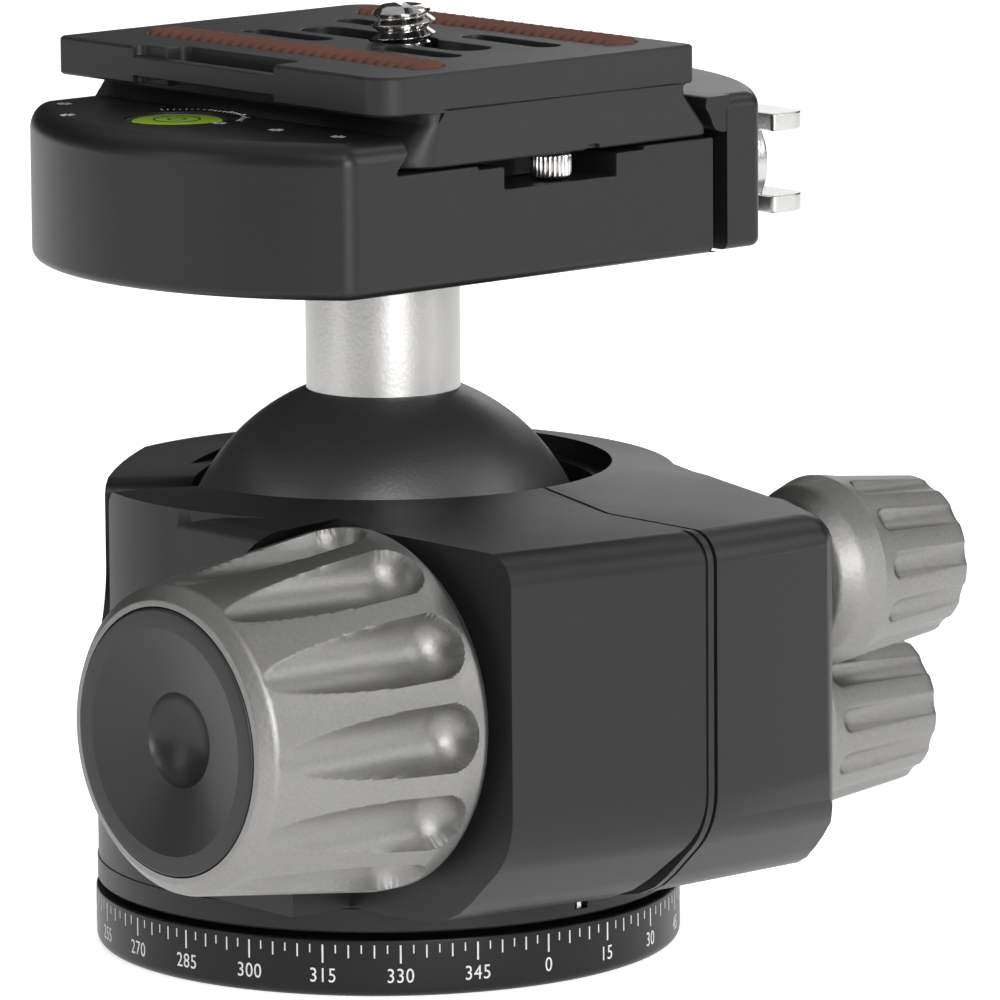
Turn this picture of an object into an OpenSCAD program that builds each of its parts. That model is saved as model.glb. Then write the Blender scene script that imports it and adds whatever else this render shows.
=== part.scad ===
// Tripod ball head: split-collar body on a panning base, 40 mm ball with a drop
// notch, screw-jaw dovetail clamp with a quick-release plate.
// Millimetres, +Z up, origin at the centre of the base's underside.
// +X points to the two small knobs, -X to the large knob, -Y to the front.

/* [Base] */
// Radius of the base ring
base_r = 28.4; // [28.2:0.1:29.5]
// Height of the base ring
base_h = 5.6; // [5.0:0.1:5.6]
// Wall radius of the tripod thread (3/8 inch, at its crests)
tripod_r = 4.3; // [4.1:0.05:4.7]

/* [Ball] */
// Radius of the ball
ball_r = 20; // [19.6:0.1:20]
// Height of the ball's centre over the underside
ball_z = 35.4; // [35.2:0.1:35.6]
// Radius of the stem
stem_r = 7.45; // [6.8:0.05:7.7]

/* [Body] */
// Radius of the round part of the body
body_r = 28.1; // [27.6:0.1:28.1]
// Height of the body's flat top
body_top = 45.2; // [45:0.1:45.6]
// Width of the collar's slit
slit_w = 0.45; // [0.4:0.05:1.2]

/* [Knobs] */
// Radius of the large knob at its wide end
main_r = 17.1; // [15.5:0.1:17.2]
// Number of flutes on the large knob
main_flutes = 12; // [8:1:14]
// Radius of the tension knob at its wide end
tension_r = 9.18; // [8.5:0.02:9.3]
// Radius of the pan-lock knob at its wide end
panlock_r = 9.06; // [8.5:0.02:9.2]
// Number of flutes on each small knob
small_flutes = 12; // [6:1:12]

/* [Clamp] */
// Radius of the clamp's round outline
clamp_r = 33.6; // [32.5:0.1:33.6]
// Half the clamp's width between its flats
clamp_half = 23.7; // [22.5:0.1:23.7]
// Opening of the jaw at rest
jaw_gap = 1.75; // [1.4:0.05:1.9]

/* [Plate] */
// Length of the plate along the channel
plate_len = 48.5; // [46:0.1:50]
// Width of the plate's deck
plate_w = 39.06; // [38:0.02:39.4]
// Width of the dovetail foot
foot_w = 38; // [37.6:0.1:38.1]

/* [Hidden] */
$fn = 64;
eps = 0.01;
fit = 0.05;              // radial running clearance
knob_y = -24.5;          // large knob and its screw
knob_z = 29;
ten_y = -30;  ten_z = 36.2;
pan_y = -20;  pan_z = 19.25;
clamp_z0 = 67.1;
clamp_z1 = 81.7;
floor_z = 78.3;
cs_z = 72;               // clamp screw
plate_cx = 2.1;          // middle of the dovetail
deck_cx = 0;
plate_y0 = -23.4;
plate_y1 = plate_y0 + plate_len;
deck_z0 = 83.7;
deck_z1 = 87.4;
foot_z0 = 78.5;
cam_y = -0.95;           // camera screw
level_x = -22.6;         // bubble level
notch_az = 142.5;          // direction of the drop notch

// cylinder along +X from x0 to x1 at (y, z)
module xcyl(r, x0, x1, y, z, r2 = -1) {
  translate([x0, y, z]) rotate([0, 90, 0])
    cylinder(h = x1 - x0, r1 = r, r2 = r2 < 0 ? r : r2, $fn = 64);
}
// cylinder along +Y from y0 to y1 at (x, z)
module ycyl(r, y0, y1, x, z) {
  translate([x, y1, z]) rotate([90, 0, 0]) cylinder(h = y1 - y0, r = r, $fn = 64);
}
// turns a profile of [distance along +X, radius] about the X axis through (y, z)
module xturn(pts, x, y, z) {
  translate([x, y, z]) rotate([0, 90, 0]) rotate_extrude($fn = 96)
    polygon([for (p = pts) [p[1], p[0]]]);
}
module ring(r1, r0, z0, z1) {
  difference() {
    translate([0, 0, z0]) cylinder(h = z1 - z0, r = r1, $fn = 96);
    translate([0, 0, z0 - 1]) cylinder(h = z1 - z0 + 2, r = r0, $fn = 96);
  }
}

// ---------- base ----------
module base_ring() color([0.11, 0.11, 0.12]) difference() {
  rotate_extrude($fn = 128) polygon([[0, 0], [base_r - 1.2, 0], [base_r - 0.35, 0.3], [base_r, 1.0],
    [base_r, base_h - 0.2], [base_r - 0.2, base_h], [11, base_h], [11, 10.5], [0, 10.5]]);
  translate([0, 0, -1]) cylinder(h = 9, r = 6.6);
  translate([0, 0, -1]) cylinder(h = 20, r = 5.2);
  for (a = [30, 150, 270]) rotate(a) translate([8.2, 0, 4.5]) cylinder(h = 8, r = 1.25, $fn = 32);
}
module tripod_bush() color([0.7, 0.7, 0.68]) difference() {
  cylinder(h = 8, r = 6.6);
  translate([0, 0, -1]) cylinder(h = 12, r = tripod_r);
}
module pan_washer() color([0.08, 0.08, 0.08]) ring(25, 12, base_h, base_h + 0.55);
module pan_retainer() color([0.6, 0.6, 0.62]) difference() {
  translate([0, 0, 10.5]) union() {
    translate([0, 0, 0]) cylinder(h = 0.15, r = 11);
    translate([0, 0, 0.15]) cylinder(h = 1.55, r = 13.6);
  }
  translate([0, 0, 9]) cylinder(h = 6, r = 5.2);
  for (a = [30, 150, 270]) rotate(a) translate([8.2, 0, 0]) {
    translate([0, 0, 9]) cylinder(h = 4, r = 1.6, $fn = 32);
    translate([0, 0, 11.1]) cylinder(h = 1.2, r1 = 1.6, r2 = 2.8, $fn = 32);
  }
}
module retainer_screws() color([0.45, 0.45, 0.46])
  for (a = [30, 150, 270]) rotate(a) translate([8.2, 0, 0]) difference() {
    union() {
      translate([0, 0, 5]) cylinder(h = 6.1, r = 1.25, $fn = 32);
      translate([0, 0, 11.1]) cylinder(h = 1.0, r1 = 1.25, r2 = 2.5, $fn = 32);
    }
    translate([0, 0, 11.5]) cylinder(h = 2, r = 0.9, $fn = 6);
  }

// ---------- housing ----------
// side profile of the front boss in [y, z]: round top edge, big round and slope below
front_y = -45.9;
front_prof = concat([[6, 47.5], [front_y + 3.4, 47.5]],
  [for (a = [90 : 10 : 180]) [front_y + 3 + 3 * cos(a), body_top - 3 + 3 * sin(a) + (a == 90 ? 0.02 : 0)]],
  [for (a = [180 : 7.5 : 225]) [front_y + 8 + 8 * cos(a), 20.8 + 8 * sin(a)]],
  [[-40.1, 11.9], [-38.4, 10.6], [-36.2, 9.6], [-33.2, 9.0], [-28.2, 8.8], [6, 8.8]]);
module boss_profile(x0, x1) {
  translate([x0, 0, 0]) rotate([90, 0, 90]) linear_extrude(height = x1 - x0) polygon(front_prof);
}
// front face turned by an angle about the vertical line through (x, y)
module turned_boss(x, y, a) translate([x, y, 0]) rotate([0, 0, a]) translate([0, -front_y, 0]) boss_profile(-70, 70);
edge_r = 1.3;            // round of the slit's left edge
edge_x = 1.35 - slit_w - edge_r;
edge_y = front_y + (edge_r - 0.168 * edge_x) / 0.986;
module boss_left() intersection() {
  turned_boss(0, front_y, -9.7);
  turned_boss(edge_x + edge_r * sin(15), edge_y - edge_r * cos(15), 15);
  turned_boss(edge_x + edge_r * sin(40), edge_y - edge_r * cos(40), 40);
  translate([0, 0, 4]) linear_extrude(height = 50) polygon([[0.3, 6], [-20, 12], [-26.8, 12], [-27.7, 11.6], [-28, 10.7], [-28, -19], [-21, -19.2], [-21, -50], [0.3, -50]]);
  // left flank with its round top edge
  translate([0, 30, 0]) rotate([90, 0, 0]) linear_extrude(height = 90)
    polygon(concat([[1, 4], [-28.01, 4]], [for (a = [180 : -15 : 90]) [-26.2 + 1.81 * cos(a), 43.6 + 1.81 * sin(a)]], [[-24, 45.9], [-20, 50], [1, 50]]));
}
// plan of the right flank, seen from above
flank = [[27.5, 3], [28.0, -4], [27, -12.6], [25.8, -17.5], [24.4, -24.2], [23.2, -28.6], [21.9, -33], [20.5, -36.6],
  [19.4, -39.4], [18.9, -41.6], [18.2, -43.4], [17, -44.9], [15.2, -46], [12.4, -46.5]];
// half-space touching the flank at an angle, with the round top edge
module flank_edge(a, r = 3.4) {
  reach = max([for (p = flank) p[0] * cos(a) + p[1] * sin(a)]) + 0.03;
  rotate([0, 0, a]) translate([reach, 70, 0]) rotate([90, 0, 0]) linear_extrude(height = 140)
    polygon(concat([[-90, 3], [0, 3]], [for (t = [0 : 15 : 90]) [-r + r * cos(t), body_top - r + r * sin(t) + (t == 90 ? 0.02 : 0)]],
      [[-r - 0.4, 47.6], [-90, 47.6]]));
}
module boss_right() intersection() {
  boss_profile(-1, 40);
  translate([0, 0, 4]) linear_extrude(height = 50) polygon(concat([[0.2, 4]], flank, [[12.4, -50], [0.2, -50]]));
  flank_edge(-10);
  flank_edge(-17);
  flank_edge(-24);
  flank_edge(-34);
  flank_edge(-48);
  flank_edge(-66);
}
module notch_cut() rotate([0, 0, notch_az]) {
  translate([0, 0, ball_z]) rotate([0, 90, 0]) cylinder(h = 50, r = 8.4);
  // far edge flares out in a round, near edge stays steep
  rotate([90, 0, 90]) linear_extrude(height = 50)
    polygon([[-8.4, ball_z], [-8.4, 42.4], [-8.7, 43.2], [-9.5, 43.85], [-11.2, 44.35], [-13.2, 44.85], [-15.4, 45.35], [-17.6, 45.85],
      [-20.5, 46.8], [-20.5, 60], [13, 60], [13, 46.75], [10.8, 46.2], [9.4, 45.6], [8.65, 44.9], [8.4, 44.1], [8.4, ball_z]]);
}
module housing() color([0.13, 0.13, 0.14]) difference() {
  union() {
    rotate_extrude($fn = 128) polygon([[0, 6.2], [body_r - 0.1, 6.2], [body_r + 0.1, 6.4], [body_r + 0.1, 8.5],
      [body_r, 8.6], [body_r, 47.2], [0, 47.2]]);
    boss_left();
    boss_right();
    // seats of the two small knobs
    xcyl(7.6, 18, 24.0, ten_y, ten_z);
    xcyl(7.6, 18, 26.4, pan_y, pan_z);
  }
  // low cone round the hole, flat top outside it
  rotate_extrude($fn = 128) polygon([[21, 46.55], [22, 46.55], [31, body_top], [70, body_top], [70, 60], [21, 60]]);
  // hole, bore, liner seat, room under the ball
  rotate_extrude($fn = 128) polygon([[0, 5], [11 + fit, 5], [11 + fit, 10.6], [14.2, 10.6], [14.2, 28.5], [21, 28.5],
    [21, 42], [20.3, 42], [20.3, 44.6], [22, 44.6], [22, 50], [0, 50]]);
  intersection() {
    translate([0, 0, ball_z]) sphere(r = 21.8, $fn = 128);
    translate([0, 0, 12]) cylinder(h = 17, r = 20.9);
  }
  // slit of the collar
  translate([1.35 - slit_w, -60, 9.3]) cube([slit_w, 42, 50]);
  notch_cut();
  // recess for the large knob, its screw's way and the insert's seat
  xcyl(18, -40, -21, knob_y, knob_z);
  xcyl(3.15, -22, 8.1, knob_y, knob_z);
  xcyl(3.7, 8, 18, knob_y, knob_z);
  xcyl(3.15, 17.9, 20.5, knob_y, knob_z);
  // tension screw: right half clear, insert in the left half
  xcyl(2.15, -3.6, 25, ten_y, ten_z);
  xcyl(3.2, -13.6, -3.5, ten_y, ten_z);
  xcyl(2.15, -15, -13.5, ten_y, ten_z);
  // pan lock
  xcyl(2.5 + fit, 6, 28, pan_y, pan_z);
  translate([9.2, pan_y, 5]) cylinder(h = 12, r = 1.8 + fit, $fn = 48);
  // notch of the index line
  translate([-0.8, -29.5, 6.9]) cube([1.6, 2.2, 2.6]);
}
module index_mark() color([0.85, 0.85, 0.84]) translate([-0.25, -27.85, 6.9]) cube([0.5, 0.55, 1.7]);
module ball_liner() color([0.2, 0.2, 0.21]) difference() {
  translate([0, 0, 28.5]) cylinder(h = 13.5, r = 21, $fn = 128);
  translate([0, 0, ball_z]) sphere(r = ball_r + fit, $fn = 128);
  notch_cut();
  translate([1.35 - slit_w, -60, 20]) cube([slit_w, 60, 40]);
}
module thrust_washer() color([0.75, 0.75, 0.72]) difference() {
  xcyl(8, -22.1, -21, knob_y, knob_z);
  xcyl(3.15, -23, -20, knob_y, knob_z);
}
module main_insert() color([0.7, 0.66, 0.5]) difference() {
  xcyl(3.7, 8.1, 17.9, knob_y, knob_z);
  xcyl(3 + fit, 7, 19, knob_y, knob_z);
}
module tension_insert() color([0.7, 0.66, 0.5]) difference() {
  xcyl(3.2, -13.5, -3.6, ten_y, ten_z);
  xcyl(2 + fit, -15, -2, ten_y, ten_z);
}
module pan_brake_pin() color([0.7, 0.66, 0.5]) translate([9.2, pan_y, 6.27]) {
  cylinder(h = 9.4, r = 1.8, $fn = 48);
}

// ---------- controls ----------
// points of the large knob's outline: distance from its back, radius
main_prof = [[0, 3], [0, 14.6], [0.35, 15.9], [1.2, main_r - 0.25], [2.6, main_r],
  [3.6, main_r - 0.12], [23.2, 14.45], [24.2, 14.1], [24.9, 13.3], [25.1, 12.5], [23.4, 12.5], [23.4, 5], [20.4, 5], [20.4, 3]];
module main_knob() color([0.72, 0.72, 0.72]) translate([-22.4, knob_y, knob_z]) rotate([0, 0, 180])
  difference() {
    xturn(main_prof, 0, 0, 0);
    for (i = [0 : main_flutes - 1]) rotate([i * 360 / main_flutes, 0, 0]) {
      translate([5.25, 0, 16.95]) rotate([0, 88.2, 0]) cylinder(h = 21, r1 = 3.1, r2 = 2.5, $fn = 32);
      translate([5.25, 0, 16.95]) sphere(r = 3.3, $fn = 32);
    }
  }
module main_knob_cap() color([0.1, 0.1, 0.1]) translate([-22.4, knob_y, knob_z]) rotate([0, 0, 180])
  xturn([[20.5, 0], [20.5, 4.9], [23.5, 4.9], [23.5, 12.4], [25.0, 12.4], [25.4, 12.1], [25.4, 10.6], [23.7, 4.4], [22.3, 3.6], [21.3, 2], [20.95, 0]], 0, 0, 0);
module main_screw() color([0.6, 0.6, 0.6]) xcyl(3, -42.8, 19, knob_y, knob_z);

// small knob: turned outline with round-ended flutes
module small_knob(r0, len, dome, bore) {
  difference() {
    xturn([[0, bore], [0, 4.6], [0.8, 6.2], [dome * 0.45, r0 - 1.1], [dome * 0.8, r0 - 0.35], [dome, r0],
      [dome + len - 0.9, r0 - 1.4], [dome + len - 0.25, r0 - 1.7], [dome + len, r0 - 2.4],
      [dome + len, 0], [6, 0], [6, bore]], 0, 0, 0);
    for (i = [0 : small_flutes - 1]) rotate([i * 360 / small_flutes - 8, 0, 0]) {
      translate([dome + 2.3, 0, r0 + 0.55]) rotate([0, 93.7, 0]) cylinder(h = len + 2, r = 1.2, $fn = 24);
      translate([dome + 2.3, 0, r0 + 0.55]) sphere(r = 1.28, $fn = 24);
    }
  }
}
module tension_knob() color([0.7, 0.7, 0.7]) translate([24.2, ten_y, ten_z])
  small_knob(tension_r, 12.6, 5.4, 2);
module tension_screw() color([0.6, 0.6, 0.6]) xcyl(2, -13, 30.2, ten_y, ten_z);
module pan_lock_knob() color([0.7, 0.7, 0.7]) translate([26.6, pan_y, pan_z])
  small_knob(panlock_r, 15.2, 6.1, 2.5);
module pan_lock_screw() color([0.6, 0.6, 0.6]) {
  xcyl(2.5, 11.8, 32.6, pan_y, pan_z);
  xcyl(0.8, 8.2, 11.8, pan_y, pan_z, 2.5);
}

// ---------- ball ----------
module ball_cup() color([0.85, 0.85, 0.8]) intersection() {
  difference() {
    translate([0, 0, ball_z]) sphere(r = 21.7, $fn = 96);
    translate([0, 0, ball_z]) sphere(r = ball_r + fit, $fn = 128);
  }
  translate([0, 0, 10]) cylinder(h = 12, r = 9.9);
}
module ball() color([0.3, 0.3, 0.31]) difference() {
  translate([0, 0, ball_z]) sphere(r = ball_r, $fn = 128);
  translate([0, 0, 45]) cylinder(h = 20, r = 6);
}
module stem() color([0.75, 0.75, 0.74]) difference() {
  union() {
    difference() {
      translate([0, 0, 50]) cylinder(h = clamp_z0 - fit - 50, r = stem_r);
      translate([0, 0, ball_z]) sphere(r = ball_r, $fn = 128);
    }
    translate([0, 0, 45]) cylinder(h = 12, r = 6);
  }
  translate([0, 0, 50]) cylinder(h = 30, r = 3);
}
module stem_bolt() color([0.35, 0.35, 0.36]) difference() {
  union() {
    translate([0, 0, 52]) cylinder(h = 21.05, r = 3);
    translate([0, 0, 73.05]) cylinder(h = 4.6, r = 5);
  }
  translate([0, 0, 75.2]) cylinder(h = 4, r = 2.6, $fn = 6);
}

// ---------- clamp ----------
// outline of clamp and jaw seen from above
module clamp_outline(cx) intersection() {
  translate([cx, 0]) circle(r = clamp_r, $fn = 160);
  translate([-60, -clamp_half]) square([120, 2 * clamp_half]);
}
module clamp_body() color([0.14, 0.14, 0.15]) difference() {
  intersection() {
    translate([0, 0, clamp_z0]) linear_extrude(height = clamp_z1 - clamp_z0) clamp_outline(0);
    translate([-60, -60, 0]) cube([60 + 21.55, 120, 100]);
    // side and front edges eased
    rotate_extrude($fn = 160) polygon(concat([[0, clamp_z0], [clamp_r - 0.8, clamp_z0], [clamp_r - 0.2, clamp_z0 + 0.25], [clamp_r + 0.01, clamp_z0 + 0.8]],
      [for (a = [0 : 18 : 90]) [clamp_r - 1.79 + 1.8 * cos(a), clamp_z1 - 1.8 + 1.8 * sin(a)]], [[0, clamp_z1]]));
    translate([-60, 0, 0]) rotate([90, 0, 90]) linear_extrude(height = 120)
      polygon(concat([[-clamp_half, clamp_z0 + 0.8], [-clamp_half + 0.8, clamp_z0], [clamp_half - 0.8, clamp_z0], [clamp_half, clamp_z0 + 0.8]],
        [for (a = [0 : 18 : 90]) [clamp_half - 1.8 + 1.8 * cos(a), clamp_z1 - 1.8 + 1.8 * sin(a)]],
        [for (a = [90 : 18 : 180]) [-clamp_half + 1.8 + 1.8 * cos(a), clamp_z1 - 1.8 + 1.8 * sin(a)]]));
  }
  // dovetail channel with the fixed lip on the left
  translate([0, 60, 0]) rotate([90, 0, 0]) linear_extrude(height = 120)
    polygon([[-16.7, 90], [-16.7, 80.3], [-18.2, 78.7], [-18.2, floor_z], [40, floor_z], [40, 90]]);
  // reliefs in the ends of the channel, room for the stop screws
  for (y0 = [-clamp_half - 1, 17]) translate([-5, y0, 75.8]) cube([14.1, clamp_half - 16, 4]);
  // stem bolt's seat, screw bores
  translate([0, 0, 60]) cylinder(h = 20, r = 3 + fit);
  translate([0, 0, 73]) cylinder(h = 10, r = 5.1);
  xcyl(2.5 + fit, 6.2, 30, 0, cs_z);
  for (s = [-1, 1]) xcyl(1.5 + fit, 8, 30, s * 15, 73);
  // level's pocket
  translate([level_x, 3.2, 79.6]) cylinder(h = 10, r = 4.9);
}
module level_bezel() color([0.1, 0.1, 0.1]) difference() {
  translate([level_x, 3.2, 79.6]) cylinder(h = 1.95, r = 4.9);
  translate([level_x, 3.2, 80.0]) cylinder(h = 10, r = 4.4);
}
module level_vial() color([0.55, 0.75, 0.15]) translate([level_x, 3.2, 80.0]) cylinder(h = 1.2, r = 4.4);
jaw_x0 = 21.55 + jaw_gap;
module clamp_jaw() color([0.14, 0.14, 0.15]) difference() {
  union() {
    intersection() {
      translate([0, 0, 67.2]) linear_extrude(height = 15) clamp_outline(3.5);
      translate([jaw_x0, -60, 0]) cube([60, 120, 100]);
      translate([3.5, 0, 0]) rotate_extrude($fn = 160) polygon([[0, 67.2], [clamp_r - 0.8, 67.2], [clamp_r + 0.01, 68],
        [clamp_r + 0.01, 81.4], [clamp_r - 0.8, 82.2], [0, 82.2]]);
    }
    // gripping lip over the channel
    intersection() {
      translate([0, 60, 0]) rotate([90, 0, 0]) linear_extrude(height = 120)
        polygon([[jaw_x0 + 0.1, 78.7], [22.35, 78.7], [21.75, 79.0], [21.1, 79.7], [20.6, 80.9], [20.6, 82.05], [21.2, 82.2], [jaw_x0 + 0.1, 82.2]]);
      translate([-60, -clamp_half, 0]) cube([120, 2 * clamp_half, 100]);
    }
  }
  xcyl(2.5 + fit, 20, 45, 0, cs_z);
  for (s = [-1, 1]) xcyl(1.5, 20, 33, s * 15, 73);
}
module guide_pins() color([0.7, 0.7, 0.7]) for (s = [-1, 1]) xcyl(1.5, 10, 31, s * 15, 73);
module clamp_screw() color([0.65, 0.65, 0.65]) xcyl(2.5, 8, 47.2, 0, cs_z);
module clamp_knob() color([0.72, 0.72, 0.72]) difference() {
  union() {
    xcyl(6.2, 37.25, 45.1, 0, cs_z);
    xcyl(4.1, 45, 46.1, 0, cs_z);
    xcyl(4.1, 46.1, 47, 0, cs_z, 2.7);
    // two wings with round outer corners
    for (z0 = [cs_z - 4.95, cs_z + 3.2]) translate([0, 0, z0]) linear_extrude(height = 1.75) difference() {
      translate([44.4, -7.6]) square([4.8, 15.2]);
      for (s = [-1, 1]) translate([49.2, s * 7.6]) difference() {
        translate([-2, s < 0 ? -1 : -2]) square([3, 3]);
        translate([-2, -s * 2]) circle(r = 2, $fn = 48);
      }
    }
  }
  xcyl(2.5, 36, 48, 0, cs_z);
}

// ---------- quick-release plate ----------
// removes a square corner at [x, y] outside radius r; sx, sy point out of the plate
module corner_off(x, y, r, sx, sy) translate([x, y]) difference() {
  translate([sx > 0 ? -r : -1, sy > 0 ? -r : -1]) square([r + 1, r + 1]);
  translate([-sx * r, -sy * r]) circle(r = r, $fn = 64);
}
module slot_2d(x, y0, y1, w) {
  translate([x - w / 2, y0]) square([w, y1 - y0]);
  translate([x, y0]) circle(r = w / 2, $fn = 32);
  translate([x, y1]) circle(r = w / 2, $fn = 32);
}
// grip strips: [middle x, end y, end y]
strips = [[-10.25, -20.05, 21.2], [15.15, -18.8, 19.9]];
strip_w = 4.8;
module strips_2d() for (t = strips) slot_2d(t[0], t[1] + strip_w / 2, t[2] - strip_w / 2, strip_w);
module plate() color([0.12, 0.12, 0.13]) difference() {
  union() {
    // deck
    translate([0, 0, deck_z0]) linear_extrude(height = deck_z1 - deck_z0) difference() {
      translate([deck_cx - plate_w / 2, plate_y0]) square([plate_w, plate_len]);
      for (sx = [-1, 1], sy = [-1, 1])
        corner_off(deck_cx + sx * plate_w / 2, sy < 0 ? plate_y0 : plate_y1, sx * sy > 0 ? 3 : 0.8, sx, sy);
    }
    // neck and dovetail foot, corners of the foot cut round
    intersection() {
      translate([plate_cx, plate_y1, 0]) rotate([90, 0, 0]) linear_extrude(height = plate_len)
        polygon([[-foot_w / 2, foot_z0], [foot_w / 2, foot_z0], [foot_w / 2, 79.4], [foot_w / 2 - 2.9, 82.6], [foot_w / 2 - 2.9, deck_z0 + eps],
          [-foot_w / 2 + 2.9, deck_z0 + eps], [-foot_w / 2 + 2.9, 82.6], [-foot_w / 2, 79.4]]);
      translate([0, 0, 70]) linear_extrude(height = 20) difference() {
        translate([plate_cx - foot_w / 2, plate_y0]) square([foot_w, plate_len]);
        for (sx = [-1, 1], sy = [-1, 1])
          corner_off(plate_cx + sx * foot_w / 2, sy < 0 ? plate_y0 : plate_y1, sx * sy > 0 ? 4 : 1, sx, sy);
      }
    }
  }
  // camera screw's bore, room for its head and for the clip
  translate([plate_cx, cam_y, 70]) cylinder(h = 20, r = 2.75);
  translate([plate_cx, cam_y, 84.5]) cylinder(h = 4, r = 3.3);
  translate([plate_cx, cam_y, 70]) cylinder(h = 13, r = 8);
  // strap pocket in the left side, its bar keeps the middle of the height
  translate([deck_cx - plate_w / 2 - 1, -7.35, 83]) cube([4.6, 17.2, 1.5]);
  translate([deck_cx - plate_w / 2 - 1, -7.35, 86.4]) cube([4.6, 17.2, 2]);
  translate([deck_cx - plate_w / 2 + 1.4, -7.35, 83]) cube([2.2, 17.2, 6]);
  translate([deck_cx - plate_w / 2 - 1, 9.8, 83]) cube([2.2, 3.8, 1.5]);
  translate([deck_cx - plate_w / 2 - 1, 9.8, 86.4]) cube([2.2, 3.8, 2]);
  // seats of the grip strips, blind slots
  translate([0, 0, deck_z1 - 0.7]) linear_extrude(height = 2) strips_2d();
  translate([0, 0, 84.5]) linear_extrude(height = 4) {
    slot_2d(8.7, 4.6, 14.5, 2.9);
    slot_2d(8.7, -14, -4.1, 2.9);
    slot_2d(-3.3, -13.4, -4.6, 2.9);
    slot_2d(-3.3, 5.4, 14.4, 2.9);
    slot_2d(plate_cx, -10.2, 10.7, 4.6);
  }
  // seats of the stop screws, thumb notch in the lower front edge
  for (y = [plate_y0 + 2.2, plate_y1 - 2.9]) translate([2.9, y, 76]) cylinder(h = 5, r = 1.2, $fn = 32);
  translate([5.6, plate_y0 - 1, 78]) cube([1.6, 1.8, 1]);
}
module grip_strips() color([0.42, 0.25, 0.18]) translate([0, 0, deck_z1 - 0.7]) linear_extrude(height = 1.2) strips_2d();
module stop_screws() color([0.7, 0.7, 0.7]) for (y = [plate_y0 + 2.2, plate_y1 - 2.9]) translate([2.9, y, 0]) {
  translate([0, 0, 76.0]) cylinder(h = 2.5, r = 2, $fn = 32);
  translate([0, 0, 78.5]) cylinder(h = 2.4, r = 1.2, $fn = 32);
}
module camera_screw() color([0.75, 0.75, 0.72]) translate([plate_cx, cam_y, 0]) difference() {
  union() {
    translate([0, 0, 78.9]) cylinder(h = 3.9, r = 7.6);
    translate([0, 0, 82.8]) cylinder(h = 4.7, r = 2.6);
    translate([0, 0, 87.5]) cylinder(h = 3.0, r = 3.1);
    translate([0, 0, 90.5]) cylinder(h = 0.35, r1 = 3.1, r2 = 2.75);
  }
  translate([-9, -0.8, 78]) cube([18, 1.6, 2.4]);
}
module screw_clip() color([0.3, 0.3, 0.3]) translate([plate_cx, cam_y, 0]) difference() {
  translate([0, 0, 84.55]) cylinder(h = 0.8, r = 3.2);
  translate([0, 0, 84]) cylinder(h = 4, r = 2.65);
}

base_ring();
tripod_bush();
pan_washer();
pan_retainer();
retainer_screws();
housing();
index_mark();
ball_liner();
thrust_washer();
main_insert();
tension_insert();
pan_brake_pin();
main_knob();
main_knob_cap();
main_screw();
tension_knob();
tension_screw();
pan_lock_knob();
pan_lock_screw();
ball_cup();
ball();
stem();
stem_bolt();
clamp_body();
level_bezel();
level_vial();
clamp_jaw();
guide_pins();
clamp_screw();
clamp_knob();
plate();
grip_strips();
stop_screws();
camera_screw();
screw_clip();
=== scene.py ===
import math

import bmesh
import bpy
import numpy as np
from mathutils import Matrix, Vector


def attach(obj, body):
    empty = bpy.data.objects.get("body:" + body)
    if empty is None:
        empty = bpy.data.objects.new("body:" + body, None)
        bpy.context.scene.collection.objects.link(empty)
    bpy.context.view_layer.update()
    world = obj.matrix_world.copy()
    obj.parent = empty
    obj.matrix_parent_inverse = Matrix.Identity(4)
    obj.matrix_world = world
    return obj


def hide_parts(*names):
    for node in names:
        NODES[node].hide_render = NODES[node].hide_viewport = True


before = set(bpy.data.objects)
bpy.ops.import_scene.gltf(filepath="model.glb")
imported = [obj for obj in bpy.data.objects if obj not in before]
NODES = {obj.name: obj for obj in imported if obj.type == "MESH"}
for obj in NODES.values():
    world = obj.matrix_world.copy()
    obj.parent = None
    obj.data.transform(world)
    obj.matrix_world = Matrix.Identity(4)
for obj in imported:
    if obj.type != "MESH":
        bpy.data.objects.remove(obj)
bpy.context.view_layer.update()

MM = 0.001
pi, sin, cos, sqrt, rad = math.pi, math.sin, math.cos, math.sqrt, math.radians


# ------------------------------------------------------------------ materials
def nodes_of(name):
    m = bpy.data.materials.new(name)
    m.use_nodes = True
    nt = m.node_tree
    bsdf = nt.nodes["Principled BSDF"]
    return m, nt, bsdf


def link(nt, a, ao, b, bi):
    nt.links.new(a.outputs[ao], b.inputs[bi])


def coords(nt, scale=1.0):
    tc = nt.nodes.new("ShaderNodeTexCoord")
    mp = nt.nodes.new("ShaderNodeMapping")
    mp.inputs["Scale"].default_value = (scale, scale, scale)
    link(nt, tc, "Object", mp, "Vector")
    return mp


def noise(nt, vec, scale, detail=3.0, rough=0.55):
    n = nt.nodes.new("ShaderNodeTexNoise")
    n.inputs["Scale"].default_value = scale
    n.inputs["Detail"].default_value = detail
    n.inputs["Roughness"].default_value = rough
    link(nt, vec, 0, n, "Vector")
    return n


def ramp(nt, src, out, stops):
    r = nt.nodes.new("ShaderNodeValToRGB")
    el = r.color_ramp.elements
    el[0].position, el[0].color = stops[0]
    el[1].position, el[1].color = stops[-1]
    for p, c in stops[1:-1]:
        e = el.new(p)
        e.color = c
    link(nt, src, out, r, "Fac")
    return r


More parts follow.
